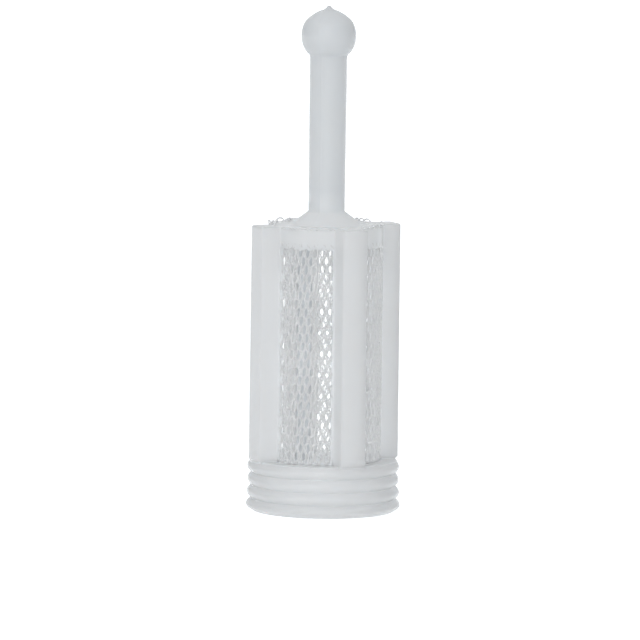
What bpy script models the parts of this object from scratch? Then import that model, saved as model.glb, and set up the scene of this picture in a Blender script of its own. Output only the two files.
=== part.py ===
"""A strainer for the paint cup of a gravity-feed spray gun.

A milky plastic cage stands on a ribbed collar that presses into the gun's paint inlet. Four posts rise from
the collar to an end cap, and a stem with a ball on it, for pulling the strainer out, stands on the cap. A
knitted mesh sleeve lines the cage and closes the windows between the posts. On the real object the cage is
one moulding; here it is split at its features, with a small gap at each joint.

The origin is at the centre of the collar's flat bottom, and +Z runs up the stem. The windows face -Y, +X, +Y
and -X, and the posts stand at the diagonals between them.
"""

import math

import bmesh
import bpy
from mathutils import Vector

MM = 0.001
GAP = 0.3 * MM  # between pieces that touch on the real object

# The cage, from the bottom up
BODY_R = 10.92 * MM
BORE_R = 8.40 * MM  # also the cap's rim between the posts
COLLAR_TOP = 7.35 * MM
WINDOW_TOP = 38.0 * MM
CAP_TOP = 41.0 * MM
POST_HALF_ANGLE = math.radians(9.8)  # a post's outer face; its sides spread towards the bore
ROOT_HALF_ANGLE = math.radians(15.8)
CORNER_R = 0.35 * MM  # rounding of the posts' upright corners
EDGE_R = 0.25 * MM  # rounding of the cap's top edge
SIDES = 4

# The collar's ribs
RIB_PITCH = 1.84 * MM
RIB_FIRST_Z = 0.90 * MM
RIB_PEAK_R = (11.0 * MM, 10.87 * MM, 10.80 * MM, 10.85 * MM)
GROOVE_R = 10.35 * MM
FOOT_R = 10.30 * MM  # outer edge of the flat bottom
LEDGE_R = 10.52 * MM  # the plain band over the top rib
LEDGE_Z = 7.05 * MM
RIB_ROUNDNESS = 0.8  # under 1 the ribs are fuller than a cosine
MOUTH_CHAMFER = 0.4 * MM

# The handle
STEM_R_LOW = 2.54 * MM
STEM_R_TOP = 2.61 * MM
SKIRT_R = 5.4 * MM
SKIRT_TOP = 42.9 * MM
SKIRT_HOLLOW = 1.16  # 1 is a straight cone, more is hollow
BALL_R = 3.90 * MM
BALL_Z = 67.85 * MM
TIP_Z = 72.1 * MM
NIB_R = 0.35 * MM

# The mesh sleeve
MESH_R = 8.10 * MM
MESH_WALL = 0.28 * MM
MESH_BOTTOM = 1.2 * MM
SEAM_WIDTH = 2.4 * MM
RAW_EDGE_HEIGHT = 0.45 * MM
RAW_EDGE_HALF_ANGLE = math.radians(26.0)

# How finely round shapes are divided
TURN_STEPS = 48
RIB_STEPS = 4
SKIRT_STEPS = 6
BALL_STEPS = 12
FILLET_STEPS = 4
ARC_STEP = math.radians(5.0)

POST_NAMES = ("post_front_right", "post_back_right", "post_back_left", "post_front_left")
EDGE_NAMES = ("raw_edge_front", "raw_edge_right", "raw_edge_back", "raw_edge_left")
FIRST_POST = math.radians(-45.0)
FIRST_WINDOW = math.radians(-90.0)
SEAM_ANGLE = math.radians(135.0)


def clear_scene():
    for item in list(bpy.data.objects):
        bpy.data.objects.remove(item, do_unlink=True)


def plastic():
    """Milky, natural polypropylene."""
    material = bpy.data.materials.new("milky_plastic")
    material.use_nodes = True
    shader = material.node_tree.nodes["Principled BSDF"]
    shader.inputs["Base Color"].default_value = (0.78, 0.81, 0.84, 1.0)
    shader.inputs["Roughness"].default_value = 0.32
    shader.inputs["Metallic"].default_value = 0.0
    return material


def nylon():
    """White monofilament mesh."""
    material = bpy.data.materials.new("nylon_mesh")
    material.use_nodes = True
    shader = material.node_tree.nodes["Principled BSDF"]
    shader.inputs["Base Color"].default_value = (0.88, 0.89, 0.90, 1.0)
    shader.inputs["Roughness"].default_value = 0.45
    shader.inputs["Metallic"].default_value = 0.0
    return material


def add_object(name, mesh_data, material, location=(0.0, 0.0, 0.0), turn=0.0):
    mesh_data.materials.append(material)
    mesh_data.shade_smooth()
    mesh_data.set_sharp_from_angle(angle=math.radians(30.0))
    piece = bpy.data.objects.new(name, mesh_data)
    piece.location = location
    piece.rotation_euler = (0.0, 0.0, turn)
    bpy.context.scene.collection.objects.link(piece)
    return piece


def to_mesh(name, form):
    bmesh.ops.recalc_face_normals(form, faces=form.faces[:])
    if form.calc_volume(signed=True) < 0.0:
        bmesh.ops.reverse_faces(form, faces=form.faces[:])
    mesh_data = bpy.data.meshes.new(name)
    form.to_mesh(mesh_data)
    form.free()
    return mesh_data


def turned(name, profile, closed):
    """Spin a profile of (radius, height) points about Z. A closed profile makes a ring; an open one runs from
    the axis to the axis and makes a solid."""
    form = bmesh.new()
    points = [form.verts.new((radius, 0.0, height)) for radius, height in profile]
    pairs = list(zip(points, points[1:]))
    if closed:
        pairs.append((points[-1], points[0]))
    edges = [form.edges.new(pair) for pair in pairs]
    bmesh.ops.spin(
        form, geom=points + edges, cent=(0.0, 0.0, 0.0), axis=(0.0, 0.0, 1.0), angle=2.0 * math.pi,
        steps=TURN_STEPS, use_merge=True,
    )
    bmesh.ops.remove_doubles(form, verts=form.verts[:], dist=0.001 * MM)
    return to_mesh(name, form)


def extruded(name, outline, bottom, top):
    """Stand a flat outline of (x, y) points up between two heights."""
    form = bmesh.new()
    face = form.faces.new([form.verts.new((x, y, bottom)) for x, y in outline])
    grown = bmesh.ops.extrude_face_region(form, geom=[face])
    raised = [item for item in grown["geom"] if isinstance(item, bmesh.types.BMVert)]
    bmesh.ops.translate(form, verts=raised, vec=(0.0, 0.0, top - bottom))
    return to_mesh(name, form)


def arc(radius, start, end, centre=(0.0, 0.0)):
    """Points along an arc about centre, both ends included."""
    steps = max(1, math.ceil(abs(end - start) / ARC_STEP - 0.001))
    angles = [start + (end - start) * step / steps for step in range(steps + 1)]
    return [(centre[0] + radius * math.cos(a), centre[1] + radius * math.sin(a)) for a in angles]


def rounded_corner(corner, before, after, radius):
    """Points of a small arc that rounds the corner between two straight runs."""
    here = Vector(corner)
    back = (Vector(before) - here).normalized()
    ahead = (Vector(after) - here).normalized()
    half = back.angle(ahead) / 2.0
    reach = radius / math.tan(half)
    centre = here + (back + ahead).normalized() * (radius / math.sin(half))
    first = here + back * reach - centre
    last = here + ahead * reach - centre
    start = math.atan2(first.y, first.x)
    sweep = (math.atan2(last.y, last.x) - start + math.pi) % (2.0 * math.pi) - math.pi
    turns = [start + sweep * step / FILLET_STEPS for step in range(FILLET_STEPS + 1)]
    return [(centre.x + radius * math.cos(a), centre.y + radius * math.sin(a)) for a in turns]


def polar(radius, angle):
    return (radius * math.cos(angle), radius * math.sin(angle))


def outer_corners():
    """The two rounded outer corners of a post that points along +X, with the arc between them."""
    low = polar(BODY_R, -POST_HALF_ANGLE)
    high = polar(BODY_R, POST_HALF_ANGLE)
    along_low = polar(BODY_R, -POST_HALF_ANGLE + ARC_STEP)
    along_high = polar(BODY_R, POST_HALF_ANGLE - ARC_STEP)
    first = rounded_corner(low, polar(BORE_R, -ROOT_HALF_ANGLE), along_low, CORNER_R)
    last = rounded_corner(high, along_high, polar(BORE_R, ROOT_HALF_ANGLE), CORNER_R)
    face_half_angle = POST_HALF_ANGLE - 1.2 * CORNER_R / BODY_R
    return first + arc(BODY_R, -face_half_angle, face_half_angle) + last


def turn_outline(outline, angle):
    cosine = math.cos(angle)
    sine = math.sin(angle)
    return [(x * cosine - y * sine, x * sine + y * cosine) for x, y in outline]


def make_posts(material):
    outline = outer_corners() + arc(BORE_R, ROOT_HALF_ANGLE, -ROOT_HALF_ANGLE)
    for index, name in enumerate(POST_NAMES):
        mesh_data = extruded(name, outline, COLLAR_TOP + GAP, WINDOW_TOP - GAP)
        add_object(name, mesh_data, material, turn=FIRST_POST + index * math.pi / 2.0)


def rib_half(centre, peak, low_r, reach):
    """Half a rib's rounded side, from its groove, reach above or below centre, to just short of its peak."""
    points = []
    for step in range(RIB_STEPS):
        share = 1.0 - step / RIB_STEPS
        swell = math.cos(share * math.pi / 2.0) ** RIB_ROUNDNESS
        points.append((low_r + (peak - low_r) * swell, centre + share * reach))
    return points


def rib_profile():
    """The collar's outer side, bottom to top: rounded ribs with narrow grooves, then a plain band."""
    points = []
    last = len(RIB_PEAK_R) - 1
    for index, peak in enumerate(RIB_PEAK_R):
        centre = RIB_FIRST_Z + index * RIB_PITCH
        low_r = FOOT_R if index == 0 else GROOVE_R
        drop = RIB_FIRST_Z if index == 0 else RIB_PITCH / 2.0
        high_r = LEDGE_R if index == last else GROOVE_R
        rise = LEDGE_Z - centre if index == last else RIB_PITCH / 2.0
        points += rib_half(centre, peak, low_r, -drop)
        points.append((peak, centre))
        upper = rib_half(centre, peak, high_r, rise)
        points += reversed(upper if index == last else upper[1:])
    points.append((LEDGE_R, COLLAR_TOP))
    return points


def make_collar(material):
    inner = [(BORE_R, COLLAR_TOP), (BORE_R, MOUTH_CHAMFER), (BORE_R + MOUTH_CHAMFER, 0.0)]
    add_object("base_collar", turned("base_collar", rib_profile() + inner, closed=True), material)


def cap_outline():
    outline = []
    for index in range(SIDES):
        angle = FIRST_POST + index * math.pi / 2.0
        outline += turn_outline(outer_corners(), angle)
        outline += arc(BORE_R, angle + ROOT_HALF_ANGLE, angle + math.pi / 2.0 - ROOT_HALF_ANGLE)
    return outline


def skirt_profile():
    """From the plate's middle out to the skirt's foot, then up its slightly hollow cone to the stem."""
    points = [(0.0, WINDOW_TOP + GAP), (SKIRT_R, WINDOW_TOP + GAP)]
    for step in range(SKIRT_STEPS + 1):
        share = step / SKIRT_STEPS
        radius = SKIRT_R + (STEM_R_LOW - SKIRT_R) * share
        points.append((radius, CAP_TOP + (SKIRT_TOP - CAP_TOP) * share**SKIRT_HOLLOW))
    points.append((0.0, SKIRT_TOP))
    return points


def make_cap(material):
    """The cross-shaped plate, its top edge rounded, joined to the skirt under the stem."""
    cap = add_object("top_cap", extruded("top_cap", cap_outline(), WINDOW_TOP, CAP_TOP), material)
    rounding = cap.modifiers.new("edge", "BEVEL")
    rounding.width = EDGE_R
    rounding.segments = 2
    rounding.limit_method = "ANGLE"
    rounding.angle_limit = math.radians(60.0)
    skirt = add_object("skirt_tool", turned("skirt_tool", skirt_profile(), closed=False), material)
    skirt.hide_render = True
    skirt.display_type = "WIRE"
    join = cap.modifiers.new("skirt", "BOOLEAN")
    join.operation = "UNION"
    join.solver = "EXACT"
    join.object = skirt


def make_stem(material):
    """A slightly tapered rod that ends just short of the ball."""
    neck = BALL_Z - math.sqrt((BALL_R + GAP) ** 2 - STEM_R_TOP**2)
    bottom = SKIRT_TOP + GAP
    profile = [(0.0, bottom), (STEM_R_LOW, bottom), (STEM_R_TOP, neck)]
    hollow_steps = 4
    for step in range(1, hollow_steps):
        radius = STEM_R_TOP * (1.0 - step / hollow_steps)
        profile.append((radius, BALL_Z - math.sqrt((BALL_R + GAP) ** 2 - radius**2)))
    profile.append((0.0, BALL_Z - BALL_R - GAP))
    add_object("handle_stem", turned("handle_stem", profile, closed=False), material)


def make_ball(material):
    """The pull ball, drawn up into the nib where the plastic was fed in."""
    profile = []
    blend_start = math.radians(62.0)
    for step in range(BALL_STEPS + 1):
        lift = -math.pi / 2.0 + step / BALL_STEPS * (math.pi / 2.0 + blend_start)
        profile.append((BALL_R * math.cos(lift), BALL_R * math.sin(lift)))
    foot_r, foot_z = profile[-1]
    tip_z = TIP_Z - BALL_Z
    blend_steps = 5
    for step in range(1, blend_steps + 1):
        share = step / blend_steps
        radius = foot_r + (NIB_R - foot_r) * share
        rise = (tip_z - foot_z) * (0.45 * share + 0.55 * share**3)
        profile.append((radius, foot_z + rise))
    profile[0] = (0.0, -BALL_R)
    profile.append((0.0, tip_z))
    add_object("handle_ball", turned("handle_ball", profile, closed=False), material, (0.0, 0.0, BALL_Z))


def make_mesh_sleeve(material):
    """The sleeve's closed outer shape, as a thin tube."""
    inner = MESH_R - MESH_WALL
    top = WINDOW_TOP - GAP
    profile = [(MESH_R, MESH_BOTTOM), (MESH_R, top), (inner, top), (inner, MESH_BOTTOM)]
    add_object("mesh_sleeve", turned("mesh_sleeve", profile, closed=True), material)


def curved_strip(name, inner, outer, half_angle, bottom, top):
    outline = arc(outer, -half_angle, half_angle) + arc(inner, half_angle, -half_angle)
    return extruded(name, outline, bottom, top)


def make_seam(material):
    """The strip's welded overlap, inside the sleeve and behind a post."""
    outer = MESH_R - MESH_WALL - GAP
    inner = outer - MESH_WALL
    half_angle = SEAM_WIDTH / 2.0 / outer
    strip = curved_strip("mesh_seam", inner, outer, half_angle, MESH_BOTTOM, WINDOW_TOP - GAP)
    add_object("mesh_seam", strip, material, turn=SEAM_ANGLE)


def make_raw_edges(material):
    """The sleeve's cut upper edge, which stands out of the cap above each window."""
    bottom = CAP_TOP + GAP
    for index, name in enumerate(EDGE_NAMES):
        strip = curved_strip(
            name, MESH_R - MESH_WALL, MESH_R, RAW_EDGE_HALF_ANGLE, bottom, bottom + RAW_EDGE_HEIGHT
        )
        add_object(name, strip, material, turn=FIRST_WINDOW + index * math.pi / 2.0)


def main():
    clear_scene()
    milky_plastic = plastic()
    nylon_mesh = nylon()
    make_collar(milky_plastic)
    make_posts(milky_plastic)
    make_cap(milky_plastic)
    make_stem(milky_plastic)
    make_ball(milky_plastic)
    make_mesh_sleeve(nylon_mesh)
    make_seam(nylon_mesh)
    make_raw_edges(nylon_mesh)


main()
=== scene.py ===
"""The looks of a gravity-cup paint strainer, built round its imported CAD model.

The cage is one milky moulding, so one seamless piece stands for its eight CAD nodes. It is a single skin of
rings: each ring has the same columns, and runs either round a circle or round the cross that the posts and
channels make. The sleeve is knitted: its threads are modelled one by one, in zigzag pillars that touch their
neighbours in turn and leave staggered holes. Loose loops of its cut edge stand out of the cap. Lengths are
in metres.
"""

import cmath
import math
import random

import bpy
import numpy as np
from mathutils import Matrix, Vector, noise


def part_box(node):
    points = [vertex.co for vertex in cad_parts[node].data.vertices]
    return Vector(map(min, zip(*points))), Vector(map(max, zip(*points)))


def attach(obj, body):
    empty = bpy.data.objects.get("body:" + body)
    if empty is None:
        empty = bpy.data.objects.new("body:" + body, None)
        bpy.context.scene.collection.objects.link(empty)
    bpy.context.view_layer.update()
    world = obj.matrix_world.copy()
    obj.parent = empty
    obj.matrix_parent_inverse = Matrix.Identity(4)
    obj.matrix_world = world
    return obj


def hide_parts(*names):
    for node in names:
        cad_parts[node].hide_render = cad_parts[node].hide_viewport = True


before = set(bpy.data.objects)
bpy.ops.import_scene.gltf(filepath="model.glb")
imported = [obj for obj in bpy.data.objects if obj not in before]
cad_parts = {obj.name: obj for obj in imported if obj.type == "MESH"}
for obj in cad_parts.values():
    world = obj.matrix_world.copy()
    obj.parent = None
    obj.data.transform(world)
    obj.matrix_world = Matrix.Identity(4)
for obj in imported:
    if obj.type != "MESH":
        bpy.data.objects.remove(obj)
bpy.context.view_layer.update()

MM = 0.001
POSTS = ("post_front_right", "post_back_right", "post_back_left", "post_front_left")
RAW_EDGES = ("raw_edge_front", "raw_edge_right", "raw_edge_back", "raw_edge_left")
FIRST_POST = math.radians(-45.0)
FIRST_WINDOW = math.radians(-90.0)
QUARTER = math.pi / 2.0


def node_radius(name):
    """The farthest that a CAD node reaches from the Z axis."""
    return max(math.hypot(v.co.x, v.co.y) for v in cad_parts[name].data.vertices)


# Heights and radii, read from the CAD nodes
RIB_R = node_radius("base_collar")
LEDGE_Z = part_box("base_collar")[1].z
BODY_R = node_radius("post_front_right")
WINDOW_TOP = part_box("top_cap")[0].z
SKIRT_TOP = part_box("top_cap")[1].z
SLEEVE_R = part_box("mesh_sleeve")[1].x
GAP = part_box("handle_stem")[0].z - SKIRT_TOP
SLEEVE_WALL = SLEEVE_R - node_radius("mesh_seam") - GAP
CAP_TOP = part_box("raw_edge_front")[0].z - GAP
STEM_R_TOP = node_radius("handle_stem") + 0.04 * MM
BALL_R = node_radius("handle_ball")
BALL_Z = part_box("handle_ball")[0].z + BALL_R
TIP_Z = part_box("handle_ball")[1].z

# The cage's finer shape
POST_HALF_ANGLE = math.radians(9.8)
WALL_FOOT_ANGLE = math.radians(13.9)  # where a post's side would meet the channel without its fillet
BORE_R = SLEEVE_R - 0.05 * MM
FRAME_R = SLEEVE_R - 0.40 * MM  # the wall's inside round the windows, in which the sleeve is buried
CHANNEL_R = SLEEVE_R + 0.04 * MM
FLARE = 0.07 * MM  # how much wider the posts stand at their feet than at the cap
WINDOW_HALF_ANGLE = math.radians(28.8)
WINDOW_EDGE = QUARTER / 2.0 - WINDOW_HALF_ANGLE  # from the middle of the nearest post
SIDE_FLASH = 0.16 * MM  # how unevenly the plastic creeps over the sleeve at a window's sides
TOP_FLASH = 0.30 * MM
CORNER_R = 0.30 * MM
ROOT_R = 0.35 * MM
EDGE_R = 0.34 * MM
RIB_PITCH = 1.84 * MM
RIB_FIRST_Z = 0.90 * MM
RIB_PEAKS = (RIB_R, RIB_R - 0.13 * MM, RIB_R - 0.20 * MM, RIB_R - 0.15 * MM)
GROOVE_R = RIB_R - 0.78 * MM
FOOT_R = RIB_R - 0.78 * MM
FOOT_EDGE = ((0.45, 0.0), (0.20, 0.04), (0.06, 0.12))  # its rounding: how far in, and how high, in mm
FOOT_EDGE_TOP = 0.21 * MM
BAND_R = RIB_R - 0.48 * MM  # the plain band over the top rib
BAND_Z = 7.05 * MM
# The ledge, in steps: the share of the way in from the band to the posts, and how far down, in mm
LEDGE_STEPS = ((0.04, 0.02), (0.12, 0.0), (0.45, 0.0), (0.8, 0.0), (0.93, -0.03), (1.0, -0.14))
STEM_R_LOW = STEM_R_TOP - 0.07 * MM
SKIRT_R = 5.4 * MM
SKIRT_HOLLOW = 1.16
PARTING_RISE = 0.045 * MM
PARTING_WIDTH = 0.10 * MM
CAP_UNDERSIDE = WINDOW_TOP + 0.5 * MM

# How finely the cage is divided
ARC_COLUMNS = 6
CORNER_COLUMNS = 4
SIDE_COLUMNS = 3
ROOT_COLUMNS = 3
CHANNEL_COLUMNS = 13
FIRST_OPEN = ARC_COLUMNS + CORNER_COLUMNS + SIDE_COLUMNS + ROOT_COLUMNS + 1  # the window's first column
HALF_COUNT = FIRST_OPEN + CHANNEL_COLUMNS - 1
COLUMNS = 8 * HALF_COUNT
RIB_ROWS = 6
WINDOW_ROWS = 40

# The knitted sleeve, its loose loops and its welded seam
WALES = 90
COURSE = 2.42 * MM
WALE_SWING = 0.16 * MM
SWING_SHARPNESS = 1.9  # the higher, the longer a wale lies straight between its swings
WALE_LEAN = math.tan(math.radians(5.0))
THREAD_R = 0.080 * MM
THREAD_PLY = 3
THREAD_SIDE = 0.145 * MM  # how far a wale's threads stand from its middle, sideways
THREAD_DEPTH = 0.125 * MM  # and in depth
THREAD_STEP = 0.30 * MM
THREAD_SIDES = 5
TWIST_SHIFT = 2.4  # from one wale's twist to the next one's, in radians
TWIST_WANDER = 1.2
SIDE_WANDER = 0.05 * MM
SLEEVE_FOOT = LEDGE_Z - 1.0 * MM
SLEEVE_HEAD = WINDOW_TOP + 0.8 * MM
LOOPS = ((0.2, 0.07 * MM), (1.2, 0.0), (1.2, 0.0), (1.2, 0.0))  # size, and depth pressed into the cap
LOOP_R = 0.105 * MM
LOOP_SIDES = 6
LOOP_STEPS = 12
LOOP_ROOT = 0.25 * MM  # how deep in the cap a loop starts and ends
FIRST_LOOP_SEED = 11
SEAM_ANGLE = math.radians(135.0)
SEAM_HALF_WIDTH = 1.15 * MM
SEAM_THICKNESS = 0.11 * MM
SEAM_RIB = 0.03 * MM
SEAM_RIB_PITCH = 0.9 * MM


# ---------------------------------------------------------------- mesh helpers


def mesh_piece(name, points, faces, material):
    mesh = bpy.data.meshes.new(name)
    mesh.from_pydata([tuple(p) for p in points], [], faces)
    mesh.validate()
    mesh.update()
    mesh.shade_smooth()
    piece = bpy.data.objects.new(name, mesh)
    bpy.context.scene.collection.objects.link(piece)
    mesh.materials.append(material)
    return piece


def lerp(a, b, share):
    return a + (b - a) * share


# ---------------------------------------------------------------- the cage's rings


def meet(start, along, radius):
    """Where a line that comes from outside first meets a circle about the axis."""
    ahead = (start.conjugate() * along).real
    return start + along * (-ahead - math.sqrt(ahead**2 - abs(start) ** 2 + radius**2))


def arc_points(centre, radius, first, last, steps):
    return [centre + cmath.rect(radius, lerp(first, last, step / steps)) for step in range(steps + 1)]


def half_cross(inset, height):
    """The cage's outline from a post's middle, at angle 0, to the next channel's middle, drawn in by inset.
    A post's side leans out towards the bore, with a rounded outer corner and a fillet at its foot."""
    body_r = BODY_R + FLARE * (CAP_TOP - height) / (CAP_TOP - LEDGE_Z)
    outer = cmath.rect(body_r, POST_HALF_ANGLE)
    inner = cmath.rect(CHANNEL_R, WALL_FOOT_ANGLE)
    along = (inner - outer) / abs(inner - outer)
    away = along * -1j
    corner = meet(outer - away * CORNER_R, along, body_r - CORNER_R)
    root = meet(outer + away * ROOT_R, along, CHANNEL_R + ROOT_R)
    post_r, channel_r = body_r - inset, CHANNEL_R - inset
    face = [cmath.rect(post_r, cmath.phase(corner) * step / ARC_COLUMNS) for step in range(ARC_COLUMNS)]
    top = arc_points(corner, CORNER_R - inset, cmath.phase(corner), cmath.phase(away), CORNER_COLUMNS)
    foot = arc_points(root, ROOT_R + inset, cmath.phase(-away), cmath.phase(root) - math.pi, ROOT_COLUMNS)
    side = [lerp(top[-1], foot[0], step / SIDE_COLUMNS) for step in range(1, SIDE_COLUMNS)]
    angles = np.linspace(WINDOW_EDGE, QUARTER / 2.0, CHANNEL_COLUMNS)
    return face + top + side + foot + [cmath.rect(channel_r, angle) for angle in angles]


def whole_ring(half):
    """Mirrors a half outline into a quarter, and repeats the quarter round the axis."""
    quarter = list(half)
    turn = complex(math.cos(QUARTER), math.sin(QUARTER))
    quarter += [p.conjugate() * turn for p in reversed(quarter[1:-1])]
    start = complex(math.cos(FIRST_POST), math.sin(FIRST_POST))
    ring = [p * start * turn**side for side in range(4) for p in quarter]
    return np.array([[p.real, p.imag] for p in ring])


def circle_half_angles():
    """Where a circle's columns stand: those of a post's flank spread out, so that none coincide."""
    low = POST_HALF_ANGLE - math.radians(3.0)
    high = WALL_FOOT_ANGLE + math.radians(4.5)
    stops = (0, ARC_COLUMNS, FIRST_OPEN - 1, HALF_COUNT)
    return list(np.interp(range(HALF_COUNT + 1), stops, (0.0, low, high, QUARTER / 2.0)))


def bore_half_angles():
    """Where the bore's columns stand: level with the window's edge at its edge."""
    stops = (0, FIRST_OPEN, HALF_COUNT)
    return list(np.interp(range(HALF_COUNT + 1), stops, (0.0, WINDOW_EDGE, QUARTER / 2.0)))


def cross(height, inset=0.0):
    return whole_ring(half_cross(inset, height))


def unit_ring(half_angles):
    return whole_ring([cmath.rect(1.0, angle) for angle in half_angles])


CIRCLE = unit_ring(circle_half_angles())
BORE = unit_ring(bore_half_angles())


def ring(plan, height):
    """A ring of points at one height, or at one height for each column."""
    heights = np.broadcast_to(np.asarray(height, float), (COLUMNS,))
    return np.column_stack([plan, heights])


def column_part():
    """For each column: its place in its half outline, 0 at a post's middle."""
    half = list(range(HALF_COUNT + 1))
    return np.array((half + half[-2:0:-1]) * 4)


PLACE = column_part()
OPEN_COLUMN = PLACE >= FIRST_OPEN  # both ends of each window included


def rib_half(centre, peak, low_r, reach):
    """Half a rib's rounded side, from its groove, reach above or below centre, to just short of its peak."""
    half = []
    for row in range(RIB_ROWS):
        share = 1.0 - row / RIB_ROWS
        radius = low_r + (peak - low_r) * math.cos(share * QUARTER) ** 0.8
        half.append((radius, centre + share * reach))
    return half


def rib_rings():
    """The flat foot's rounded edge, then rounded ribs with narrow grooves between them."""
    profile = [(FOOT_R - inward * MM, height * MM) for inward, height in FOOT_EDGE]
    last = len(RIB_PEAKS) - 1
    for index, peak in enumerate(RIB_PEAKS):
        centre = RIB_FIRST_Z + index * RIB_PITCH
        low_r, drop = (FOOT_R, RIB_FIRST_Z - FOOT_EDGE_TOP) if index == 0 else (GROOVE_R, RIB_PITCH / 2.0)
        high_r, rise = (BAND_R, BAND_Z - centre) if index == last else (GROOVE_R, RIB_PITCH / 2.0)
        upper = rib_half(centre, peak, high_r, rise)
        profile += rib_half(centre, peak, low_r, -drop) + [(peak, centre)]
        profile += reversed(upper if index == last else upper[1:])
    return [ring(CIRCLE * radius, height) for radius, height in profile]


def ledge_rings():
    """From the plain band over the ledge to the posts' feet. Where a column runs up a post's face, the rings
    climb to it instead of running in."""
    feet = cross(LEDGE_Z)
    on_face = np.clip((np.linalg.norm(feet, axis=1) - BAND_R + 0.30 * MM) / (0.35 * MM), 0.0, 1.0)
    rings = [ring(CIRCLE * BAND_R, lerp(BAND_Z, LEDGE_Z, 0.6))]
    for share, drop in LEDGE_STEPS:
        level = LEDGE_Z - drop * MM
        climb = lerp(lerp(BAND_Z, LEDGE_Z, 0.7), LEDGE_Z + 0.25 * MM, share)
        rings.append(ring(lerp(CIRCLE * BAND_R, feet, share), lerp(level, climb, on_face)))
    return rings


def flash(angle, height, size):
    """Uneven creep of the plastic over the sleeve at a window's edge."""
    where = Vector((math.cos(angle) * 9.0, math.sin(angle) * 9.0, height * 900.0))
    return size * (noise.noise(where) + 0.5 * noise.noise(where * 2.3))


def window_heights():
    low = LEDGE_Z + 1.2 * MM
    high = WINDOW_TOP - 0.6 * MM
    return [lerp(low, high, row / WINDOW_ROWS) for row in range(WINDOW_ROWS + 1)]


def with_flash(plan, height):
    """Moves the columns at a window's upright edges a little in or out of the window."""
    moved = plan.copy()
    for column in np.flatnonzero((PLACE >= FIRST_OPEN) & (PLACE <= FIRST_OPEN + 1)):
        angle = math.atan2(plan[column, 1], plan[column, 0])
        side = math.copysign(1.0, math.sin(2.0 * (angle - FIRST_WINDOW)))
        shift = flash(angle + side * 40.0, height, SIDE_FLASH) / CHANNEL_R
        cosine, sine = math.cos(shift), math.sin(shift)
        x, y = plan[column]
        moved[column] = (x * cosine - y * sine, x * sine + y * cosine)
    return moved


def window_top_heights(base):
    heights = np.full(COLUMNS, base)
    for column in np.flatnonzero(PLACE >= FIRST_OPEN - 1):
        angle = math.atan2(BORE[column, 1], BORE[column, 0])
        heights[column] += flash(angle * 1.7, 3.0 * MM, TOP_FLASH)
    return heights


def cap_rings():
    """The cap's side, its rounded top edge, and its top face in to the skirt."""
    rings = []
    for height in (WINDOW_TOP + 0.7 * MM, lerp(WINDOW_TOP, CAP_TOP, 0.6)):
        rings.append(ring(cross(height), height))
    steps = 5
    for step in range(steps + 1):
        turn = QUARTER * step / steps
        inset = EDGE_R * (1.0 - math.cos(turn))
        rings.append(ring(cross(CAP_TOP, inset), CAP_TOP - EDGE_R + EDGE_R * math.sin(turn)))
    rim = cross(CAP_TOP, EDGE_R)
    for share in (0.08, 0.35, 0.65, 0.92):
        rings.append(ring(lerp(rim, CIRCLE * SKIRT_R, share), CAP_TOP))
    return rings


def parting_line(radius, height):
    """The mould's parting line: a fine ridge up the front and the back of the handle."""
    angles = np.arctan2(CIRCLE[:, 1], CIRCLE[:, 0])
    across = (np.abs(np.abs(angles) - QUARTER)) * radius
    ridge = PARTING_RISE * np.exp(-((across / PARTING_WIDTH) ** 2))
    return CIRCLE * (radius + ridge)[:, None]


def handle_rings():
    """Skirt, stem, ball and nib."""
    rings = []
    skirt_steps = 9
    for step in range(skirt_steps):
        share = step / skirt_steps
        rise = (SKIRT_TOP - CAP_TOP) * share**SKIRT_HOLLOW
        rings.append((lerp(SKIRT_R, STEM_R_LOW, share), CAP_TOP + rise))
    neck_r = STEM_R_TOP + 0.02 * MM
    neck_lift = math.acos((neck_r + 0.30 * MM) / BALL_R)
    neck_z = BALL_Z - BALL_R * math.sin(neck_lift)
    stem_steps = 12
    for step in range(stem_steps + 1):
        share = step / stem_steps
        rings.append((lerp(STEM_R_LOW, STEM_R_TOP, share), lerp(SKIRT_TOP, neck_z - 0.55 * MM, share)))
    rings.append((neck_r + 0.03 * MM, neck_z - 0.30 * MM))
    rings.append((neck_r + 0.12 * MM, neck_z - 0.12 * MM))
    nib_lift = math.radians(66.0)
    ball_steps = 26
    for step in range(ball_steps + 1):
        lift = lerp(-neck_lift, nib_lift, step / ball_steps)
        narrowing = 0.24 * (max(0.0, lift - math.radians(30.0)) / math.radians(36.0)) ** 1.5
        rings.append((BALL_R * math.cos(lift) * (1.0 - narrowing), BALL_Z + BALL_R * math.sin(lift)))
    foot_r, foot_z = rings[-1]
    tip_r = 0.22 * MM
    nib_steps = 9
    for step in range(1, nib_steps + 1):
        share = step / nib_steps
        rise = (TIP_Z - 0.06 * MM - foot_z) * (0.42 * share + 0.58 * share**3.2)
        rings.append((lerp(foot_r, tip_r, share), foot_z + rise))
    rings.append((tip_r * 0.6, TIP_Z - 0.015 * MM))
    return [ring(parting_line(radius, height), height) for radius, height in rings]


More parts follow.
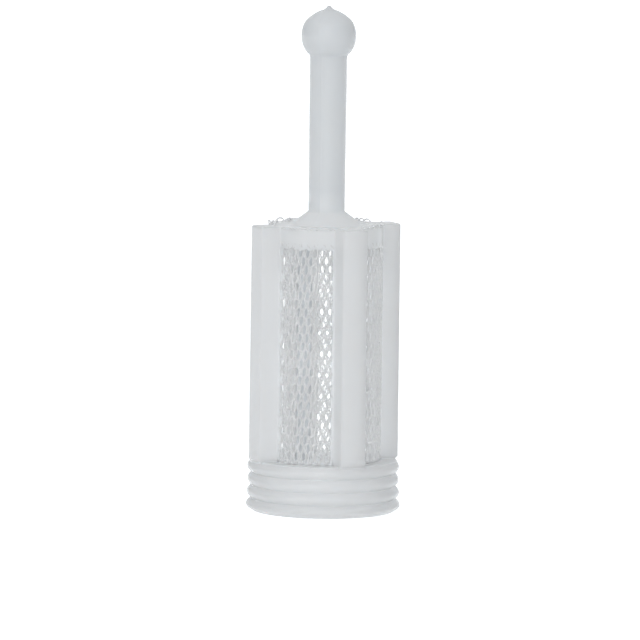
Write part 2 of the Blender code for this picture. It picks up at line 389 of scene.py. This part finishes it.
def inside_rings(window_rows, top_row):
    """From the middle of the cap's underside out to the bore, down it, and out round the mouth."""
    rings = []
    for radius in (1.2 * MM, 3.0 * MM, 5.0 * MM, 6.6 * MM, FRAME_R - 0.45 * MM):
        rings.append(ring(BORE * radius, CAP_UNDERSIDE))
    rings.append(ring(BORE * (FRAME_R - 0.12 * MM), CAP_UNDERSIDE - 0.10 * MM))
    first_open = len(rings)
    rings.append(ring(BORE * FRAME_R, top_row))
    for plan, height in reversed(window_rows):
        angles = np.arctan2(plan[:, 1], plan[:, 0])
        own = np.column_stack([np.cos(angles), np.sin(angles)])
        unit = np.where(OPEN_COLUMN[:, None], own, BORE)
        rings.append(ring(unit * FRAME_R, height))
    last_open = len(rings)
    rings.append(ring(BORE * BORE_R, LEDGE_Z - 0.05 * MM))
    for share in (0.25, 0.5, 0.75, 0.95):
        rings.append(ring(BORE * BORE_R, lerp(LEDGE_Z, 0.5 * MM, share)))
    rings.append(ring(CIRCLE * BORE_R, 0.45 * MM))
    rings.append(ring(CIRCLE * (BORE_R + 0.38 * MM), 0.06 * MM))
    rings.append(ring(CIRCLE * (BORE_R + 0.48 * MM), 0.0))
    rings.append(ring(CIRCLE * (BORE_R + 1.1 * MM), 0.0))
    return rings, first_open, last_open


def skin(rings, skipped):
    """Quads between neighbouring rings, apart from the skipped (row, column) places; closes both poles."""
    faces = []
    for row in range(len(rings) - 1):
        for column in range(COLUMNS):
            if (row, column) in skipped:
                continue
            after = (column + 1) % COLUMNS
            low, high = row * COLUMNS, (row + 1) * COLUMNS
            faces.append((low + column, low + after, high + after, high + column))
    last = (len(rings) - 1) * COLUMNS
    start_pole = len(rings) * COLUMNS
    end_pole = start_pole + 1
    for column in range(COLUMNS):
        after = (column + 1) % COLUMNS
        faces.append((start_pole, after, column))
        faces.append((end_pole, last + column, last + after))
    return faces


def window_frames(rings, inside, outside, columns):
    """Closes the wall round each window, between its inside and outside edges."""
    faces = []
    first_in, last_in = inside
    first_out, last_out = outside
    for column in columns:
        after = (column + 1) % COLUMNS
        for row_in, row_out, flip in ((last_in, first_out, False), (first_in, last_out, True)):
            quad = [
                row_in * COLUMNS + column, row_in * COLUMNS + after,
                row_out * COLUMNS + after, row_out * COLUMNS + column,
            ]
            faces.append(tuple(reversed(quad)) if flip else tuple(quad))
    starts = [c for c in columns if (c - 1) % COLUMNS not in columns]
    ends = [(c + 1) % COLUMNS for c in columns if (c + 1) % COLUMNS not in columns]
    for column, flip in [(c, False) for c in starts] + [(c, True) for c in ends]:
        for step in range(last_in - first_in):
            in_high, in_low = first_in + step, first_in + step + 1
            out_high, out_low = last_out - step, last_out - step - 1
            quad = [
                in_low * COLUMNS + column, in_high * COLUMNS + column,
                out_high * COLUMNS + column, out_low * COLUMNS + column,
            ]
            faces.append(tuple(reversed(quad)) if flip else tuple(quad))
    return faces


def cage(material):
    top_row = window_top_heights(WINDOW_TOP)
    window_rows = [(with_flash(cross(height), height), height) for height in window_heights()]
    inner, first_in, last_in = inside_rings(window_rows, top_row)
    lower = rib_rings() + ledge_rings()
    first_out = len(inner) + len(lower) - 1
    middle = [ring(plan, height) for plan, height in window_rows] + [ring(cross(WINDOW_TOP), top_row)]
    last_out = first_out + len(middle)
    rings = inner + lower + middle + cap_rings() + handle_rings()
    columns = {c for c in range(COLUMNS) if OPEN_COLUMN[c] and OPEN_COLUMN[(c + 1) % COLUMNS]}
    skipped = {(row, c) for row in range(first_in, last_in) for c in columns}
    skipped |= {(row, c) for row in range(first_out, last_out) for c in columns}
    faces = skin(rings, skipped)
    faces += window_frames(rings, (first_in, last_in), (first_out, last_out), sorted(columns))
    points = np.vstack(rings + [[[0.0, 0.0, CAP_UNDERSIDE]], [[0.0, 0.0, TIP_Z]]])
    piece = mesh_piece("cage", points, faces, material)
    piece.data.set_sharp_from_angle(angle=math.radians(55.0))
    weighted = piece.modifiers.new("even_shading", "WEIGHTED_NORMAL")
    weighted.keep_sharp = True
    return piece


# ---------------------------------------------------------------- the knitted sleeve


def tube(path, radius, sides, first):
    """Points and quads of a closed round thread along path; first is the number of its first point."""
    path = np.asarray(path, float)
    ahead = np.gradient(path, axis=0)
    ahead /= np.linalg.norm(ahead, axis=1)[:, None]
    out = path * (1.0, 1.0, 0.0)
    out /= np.linalg.norm(out, axis=1)[:, None]
    side = np.cross(ahead, out)
    side /= np.linalg.norm(side, axis=1)[:, None]
    up = np.cross(side, ahead)
    turns = [2.0 * math.pi * s / sides for s in range(sides)]
    rings = [path + radius * (math.cos(t) * side + math.sin(t) * up) for t in turns]
    points = np.stack(rings, axis=1).reshape(-1, 3)
    faces = []
    for row in range(len(path) - 1):
        for s in range(sides):
            a, b = first + row * sides + s, first + row * sides + (s + 1) % sides
            faces.append((a, b, b + sides, a + sides))
    faces.append(tuple(first + s for s in reversed(range(sides))))
    top = first + (len(path) - 1) * sides
    faces.append(tuple(top + s for s in range(sides)))
    return points, faces


def threads_piece(name, paths, radius, sides, material):
    points, faces, first = [], [], 0
    for path in paths:
        p, f = tube(path, radius, sides, first)
        points.append(p)
        faces += f
        first += len(p)
    return mesh_piece(name, np.vstack(points), faces, material)


def wale_place(wale, height):
    """How far round the sleeve a wale's middle stands at a height, as an angle."""
    wave = math.cos(2.0 * math.pi * height / COURSE)
    swing = math.tanh(SWING_SHARPNESS * wave) / math.tanh(SWING_SHARPNESS)
    side = -1.0 if wale % 2 else 1.0
    return 2.0 * math.pi * wale / WALES + (side * WALE_SWING * swing + WALE_LEAN * height) / SLEEVE_R


def wale_threads(wale):
    """The threads of one wale, twisted about each other."""
    rows = int(round((SLEEVE_HEAD - SLEEVE_FOOT) / THREAD_STEP))
    middle_r = SLEEVE_R - SLEEVE_WALL / 2.0 + 0.02 * MM
    threads = [[] for _ in range(THREAD_PLY)]
    for row in range(rows + 1):
        height = lerp(SLEEVE_FOOT, SLEEVE_HEAD, row / rows)
        angle = wale_place(wale, height)
        wander = noise.noise(Vector((wale * 3.1, height * 400.0, 0.0)))
        twist = 2.0 * math.pi * height / COURSE + wale * TWIST_SHIFT + TWIST_WANDER * wander
        for index in range(THREAD_PLY):
            turn = twist + index * 2.0 * math.pi / THREAD_PLY
            along = (THREAD_SIDE * math.cos(turn) + SIDE_WANDER * wander) / middle_r
            radius = middle_r + THREAD_DEPTH * math.sin(turn)
            place = angle + along
            threads[index].append((radius * math.cos(place), radius * math.sin(place), height))
    return threads


def sleeve(material):
    paths = []
    for wale in range(WALES):
        paths += wale_threads(wale)
    return threads_piece("mesh_sleeve_knit", paths, THREAD_R, THREAD_SIDES, material)


def raw_edge(name, middle, size, sunk, material, seed):
    """The cut edge's loose loops over one window."""
    draw = random.Random(seed)
    spacing = 2.0 * math.pi / WALES
    reach = WINDOW_HALF_ANGLE + math.radians(0.2)
    base_r = SLEEVE_R - 0.02 * MM
    paths = []
    angle = middle - reach
    while angle < middle + reach:
        width = spacing * draw.choice((1.0, 1.6, 2.2, 3.4))
        height = (draw.uniform(0.05, 0.22) * MM + 0.06 * MM * width / spacing) * size - sunk
        lean = draw.uniform(-0.65, 0.15) * MM * size
        skew = draw.uniform(-0.4, 0.4)
        path = []
        for step in range(LOOP_STEPS + 1):
            turn = math.pi * step / LOOP_STEPS
            along = angle + width / 2.0 - width / 2.0 * math.cos(turn) + skew * width * math.sin(turn) * 0.5
            lift = math.sin(turn) ** 0.7
            radius = base_r + lean * lift
            z = CAP_TOP - LOOP_ROOT + (height + LOOP_ROOT) * lift
            path.append((radius * math.cos(along), radius * math.sin(along), z))
        paths.append(path)
        angle += width * draw.uniform(0.6, 1.1)
    return threads_piece(name, paths, LOOP_R, LOOP_SIDES, material)


def seam(material):
    """The sleeve's welded overlap: a thin band, pressed into crosswise ribs."""
    half = SEAM_HALF_WIDTH / SLEEVE_R
    rows, columns = 150, 8
    points, faces = [], []
    for side in (1.0, -1.0):
        for row in range(rows + 1):
            height = lerp(SLEEVE_FOOT, WINDOW_TOP, row / rows)
            press = SEAM_RIB * math.sin(2.0 * math.pi * height / SEAM_RIB_PITCH)
            for column in range(columns + 1):
                share = -1.0 + 2.0 * column / columns
                edge = 0.05 * MM * noise.noise(Vector((height * 900.0, share, 4.0)))
                thick = (SEAM_THICKNESS + press) * (1.0 - 0.6 * share**4)
                radius = FRAME_R - 0.10 * MM + side * thick / 2.0
                angle = SEAM_ANGLE + share * half + edge / SLEEVE_R
                points.append((radius * math.cos(angle), radius * math.sin(angle), height))
    layer = (rows + 1) * (columns + 1)
    for row in range(rows):
        for column in range(columns):
            a = row * (columns + 1) + column
            b, c, d = a + 1, a + columns + 2, a + columns + 1
            faces.append((a, b, c, d))
            faces.append((layer + d, layer + c, layer + b, layer + a))
    for row in range(rows):
        for column, flip in ((0, False), (columns, True)):
            a = row * (columns + 1) + column
            b = a + columns + 1
            quad = (a, b, layer + b, layer + a)
            faces.append(tuple(reversed(quad)) if flip else quad)
    for column in range(columns):
        for row, flip in ((0, True), (rows, False)):
            a = row * (columns + 1) + column
            quad = (a, a + 1, layer + a + 1, layer + a)
            faces.append(tuple(reversed(quad)) if flip else quad)
    return mesh_piece("mesh_seam_weld", points, faces, material)


# ---------------------------------------------------------------- materials

PAINTED_HANDLE_SHADE = (0.85, 0.85, 0.85)  # painted shade: the solid handle looks a little darker than the hollow cage, so its colour is darkened


def new_material(name):
    material = bpy.data.materials.new(name)
    material.use_nodes = True
    tree = material.node_tree
    return material, tree, tree.nodes["Principled BSDF"]


def add_node(tree, kind, **values):
    node = tree.nodes.new(kind)
    for key, value in values.items():
        if key in node.inputs:
            node.inputs[key].default_value = value
        else:
            setattr(node, key, value)
    return node


def noise_node(tree, coordinates, scale, detail):
    node = add_node(tree, "ShaderNodeTexNoise", Scale=scale, Detail=detail)
    tree.links.new(coordinates, node.inputs["Vector"])
    return node


def ramp_node(tree, source, stops):
    node = tree.nodes.new("ShaderNodeValToRGB")
    elements = node.color_ramp.elements
    elements[0].position, elements[0].color = stops[0]
    elements[1].position, elements[1].color = stops[1]
    for position, colour in stops[2:]:
        elements.new(position).color = colour
    tree.links.new(source, node.inputs["Fac"])
    return node


def milky_plastic():
    """Natural polypropylene: cloudy, softly see-through, and faintly uneven from the mould, with painted
    shade darkening the solid handle.
    """
    material, tree, shader = new_material("milky_polypropylene")
    place = tree.nodes.new("ShaderNodeTexCoord").outputs["Object"]
    clouds = noise_node(tree, place, 160.0, 3.0)
    stops = ((0.30, (0.925, 0.945, 0.965, 1.0)), (0.72, (0.945, 0.96, 0.975, 1.0)))
    tint = ramp_node(tree, clouds.outputs["Fac"], stops)
    height = tree.nodes.new("ShaderNodeSeparateXYZ")
    tree.links.new(place, height.inputs["Vector"])
    # Painted shade: from the skirt up, the handle's colour is multiplied darker, standing in for the dimmer
    # light inside the solid handle.
    solid = add_node(tree, "ShaderNodeMapRange", **{"From Min": 42.0 * MM, "From Max": 46.0 * MM})
    tree.links.new(height.outputs["Z"], solid.inputs["Value"])
    painted_shade_mix = add_node(tree, "ShaderNodeMix", data_type="RGBA", blend_type="MULTIPLY")
    painted_shade_mix.inputs["B"].default_value = (*PAINTED_HANDLE_SHADE, 1.0)
    tree.links.new(solid.outputs["Result"], painted_shade_mix.inputs["Factor"])
    tree.links.new(tint.outputs["Color"], painted_shade_mix.inputs["A"])
    tree.links.new(painted_shade_mix.outputs["Result"], shader.inputs["Base Color"])
    grain = noise_node(tree, place, 2600.0, 4.0)
    gloss = add_node(tree, "ShaderNodeMapRange", **{"To Min": 0.12, "To Max": 0.26})
    tree.links.new(grain.outputs["Fac"], gloss.inputs["Value"])
    tree.links.new(gloss.outputs["Result"], shader.inputs["Roughness"])
    waves = noise_node(tree, place, 420.0, 2.0)
    wave_bump = add_node(tree, "ShaderNodeBump", Strength=0.20, Distance=0.00004)
    tree.links.new(waves.outputs["Fac"], wave_bump.inputs["Height"])
    grain_bump = add_node(tree, "ShaderNodeBump", Strength=0.05, Distance=0.00001)
    tree.links.new(grain.outputs["Fac"], grain_bump.inputs["Height"])
    tree.links.new(wave_bump.outputs["Normal"], grain_bump.inputs["Normal"])
    tree.links.new(grain_bump.outputs["Normal"], shader.inputs["Normal"])
    shader.inputs["Subsurface Weight"].default_value = 1.0
    shader.inputs["Subsurface Radius"].default_value = (1.0, 1.05, 1.1)
    shader.inputs["Subsurface Scale"].default_value = 0.006
    shader.inputs["Transmission Weight"].default_value = 0.2
    shader.inputs["IOR"].default_value = 1.49
    return material


def nylon(name, low, high):
    """Drawn nylon thread, clear white with a soft shine, and painted glints and shade in lighter and darker
    streaks.
    """
    material, tree, shader = new_material(name)
    place = tree.nodes.new("ShaderNodeTexCoord").outputs["Object"]
    drawn = add_node(tree, "ShaderNodeMapping", Scale=(1.0, 1.0, 0.35))
    tree.links.new(place, drawn.inputs["Vector"])
    # Painted glints and shade: stretched noise streaks the thread's colour lighter and darker along its
    # length, standing in for glints and shaded strokes; the same noise varies the roughness.
    glint_and_shade_streaks = noise_node(tree, drawn.outputs["Vector"], 3600.0, 2.0)
    tint = ramp_node(tree, glint_and_shade_streaks.outputs["Fac"], ((0.40, low), (0.60, high)))
    tree.links.new(tint.outputs["Color"], shader.inputs["Base Color"])
    gloss = add_node(tree, "ShaderNodeMapRange", **{"To Min": 0.08, "To Max": 0.22})
    tree.links.new(glint_and_shade_streaks.outputs["Fac"], gloss.inputs["Value"])
    tree.links.new(gloss.outputs["Result"], shader.inputs["Roughness"])
    shader.inputs["Subsurface Weight"].default_value = 0.35
    shader.inputs["Subsurface Radius"].default_value = (1.0, 1.0, 1.0)
    shader.inputs["Subsurface Scale"].default_value = 0.0003
    shader.inputs["Transmission Weight"].default_value = 0.3
    shader.inputs["IOR"].default_value = 1.53
    shader.inputs["Specular IOR Level"].default_value = 0.9
    return material


# ---------------------------------------------------------------- studio

COOL = (0.975, 1.0, 1.02)
TENT_FRONT, TENT_SIDE, TENT_SEEN = 0.74, 0.44, 1.05  # brightness ahead and behind, sideways, and as backdrop
FLOOR_GLOW = 0.60
BORE_LAMPS = (0.010, 0.021, 0.032)  # heights
BORE_POWER = 0.0007
CAMERA_TURN = math.radians(21.9)  # how far round from the front window the camera stands
CAMERA_ROLL = math.radians(0.75)
CAMERA_DISTANCE = 1.0
CAMERA_HEIGHT = 0.132
AIM_HEIGHT = 0.02727
AIM_LEFT = 0.00073


def floor():
    """A pale, evenly lit sweep."""
    mesh = bpy.data.meshes.new("floor")
    reach = 9.0
    corners_xy = ((-reach, -reach), (reach, -reach), (reach, reach), (-reach, reach))
    mesh.from_pydata([(x, y, 0.0) for x, y in corners_xy], [], [(0, 1, 2, 3)])
    plane = bpy.data.objects.new("floor", mesh)
    bpy.context.scene.collection.objects.link(plane)
    material, tree, shader = new_material("pale_paper")
    shader.inputs["Base Color"].default_value = (0.9, 0.9, 0.9, 1.0)
    shader.inputs["Roughness"].default_value = 0.9
    shader.inputs["Specular IOR Level"].default_value = 0.1
    shader.inputs["Emission Color"].default_value = (*COOL, 1.0)
    shader.inputs["Emission Strength"].default_value = FLOOR_GLOW
    mesh.materials.append(material)
    plane.visible_diffuse = False
    plane.visible_transmission = False


def area_light(name, place, size, power, aim):
    """A soft light: round for one size, or upright for a width and a height."""
    data = bpy.data.lights.new(name, "AREA")
    data.shape = "ELLIPSE" if size[0] == size[1] else "RECTANGLE"
    data.size, data.size_y = size
    data.energy = power
    data.color = COOL
    lamp = bpy.data.objects.new(name, data)
    lamp.location = place
    lamp.rotation_euler = (Vector(aim) - Vector(place)).to_track_quat("-Z", "Y").to_euler()
    bpy.context.scene.collection.objects.link(lamp)


def bore_light(height):
    """A small lamp in the sleeve, for the light that the milky walls let in."""
    data = bpy.data.lights.new("bore", "POINT")
    data.shadow_soft_size = 0.0025
    data.energy = BORE_POWER
    data.color = COOL
    lamp = bpy.data.objects.new("bore", data)
    lamp.location = (0.0, 0.0, height)
    lamp.visible_camera = False
    lamp.visible_glossy = False
    bpy.context.scene.collection.objects.link(lamp)


def studio():
    """A bright tent, dimmer to either side of the object, and two soft lights in front."""
    world = bpy.data.worlds.new("studio")
    bpy.context.scene.world = world
    world.use_nodes = True
    tree = world.node_tree
    sky = tree.nodes["Background"]
    sky.inputs["Color"].default_value = (*COOL, 1.0)
    path = tree.nodes.new("ShaderNodeLightPath")
    level = add_node(tree, "ShaderNodeMapRange", **{"To Max": TENT_SEEN})
    tree.links.new(path.outputs["Is Camera Ray"], level.inputs["Value"])
    ahead = tree.nodes.new("ShaderNodeTexCoord").outputs["Generated"]
    sideways = add_node(tree, "ShaderNodeVectorMath", operation="DOT_PRODUCT")
    sideways.inputs[1].default_value = (math.cos(CAMERA_TURN), math.sin(CAMERA_TURN), 0.0)
    tree.links.new(ahead, sideways.inputs[0])
    squared = add_node(tree, "ShaderNodeMath", operation="MULTIPLY")
    tree.links.new(sideways.outputs["Value"], squared.inputs[0])
    tree.links.new(sideways.outputs["Value"], squared.inputs[1])
    dimmed = add_node(tree, "ShaderNodeMapRange", **{"To Min": TENT_FRONT, "To Max": TENT_SIDE})
    tree.links.new(squared.outputs["Value"], dimmed.inputs["Value"])
    tree.links.new(dimmed.outputs["Result"], level.inputs["To Min"])
    tree.links.new(level.outputs["Result"], sky.inputs["Strength"])
    bpy.context.scene.view_settings.view_transform = "Standard"
    middle = (0.0, 0.0, 0.035)
    area_light("key", (0.16, -0.60, 0.28), (0.60, 0.60), 0.84, middle)
    area_light("strip", (-0.21, -0.56, 0.16), (0.045, 0.32), 0.28, middle)
    for height in BORE_LAMPS:
        bore_light(height)


def camera():
    """The photograph's view: a long lens, a little above the object, which leans slightly."""
    right = Vector((math.cos(CAMERA_TURN), math.sin(CAMERA_TURN), 0.0))
    outward = Vector((math.sin(CAMERA_TURN), -math.cos(CAMERA_TURN), 0.0))
    place = outward * CAMERA_DISTANCE + Vector((0.0, 0.0, CAMERA_HEIGHT))
    aim = Vector((0.0, 0.0, AIM_HEIGHT)) - right * AIM_LEFT
    data = bpy.data.cameras.new("camera")
    data.lens = 397.0
    data.clip_start = 0.01
    data.clip_end = 50.0
    eye = bpy.data.objects.new("camera", data)
    facing = (aim - place).to_track_quat("-Z", "Y").to_matrix().to_4x4()
    roll = Matrix.Rotation(CAMERA_ROLL, 4, "Z")
    eye.matrix_world = Matrix.Translation(place) @ facing @ roll
    bpy.context.scene.collection.objects.link(eye)
    bpy.context.scene.camera = eye


# ---------------------------------------------------------------- the object

camera()
studio()
floor()

plastic = milky_plastic()
thread = nylon("nylon_thread", (0.93, 0.93, 0.935, 1.0), (1.0, 0.995, 0.99, 1.0))
weld = nylon("nylon_weld", (0.66, 0.68, 0.70, 1.0), (0.76, 0.78, 0.80, 1.0))

moulding = cage(plastic)
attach(moulding, "root")
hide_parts("base_collar", *POSTS, "top_cap", "handle_stem", "handle_ball")

knit = sleeve(thread)
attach(knit, "root")
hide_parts("mesh_sleeve")

overlap = seam(weld)
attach(overlap, "root")
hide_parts("mesh_seam")

for index, (node, (size, sunk)) in enumerate(zip(RAW_EDGES, LOOPS)):
    middle = FIRST_WINDOW + index * QUARTER
    loops = raw_edge(node + "_loops", middle, size, sunk, thread, FIRST_LOOP_SEED + index)
    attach(loops, "root")
    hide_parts(node)
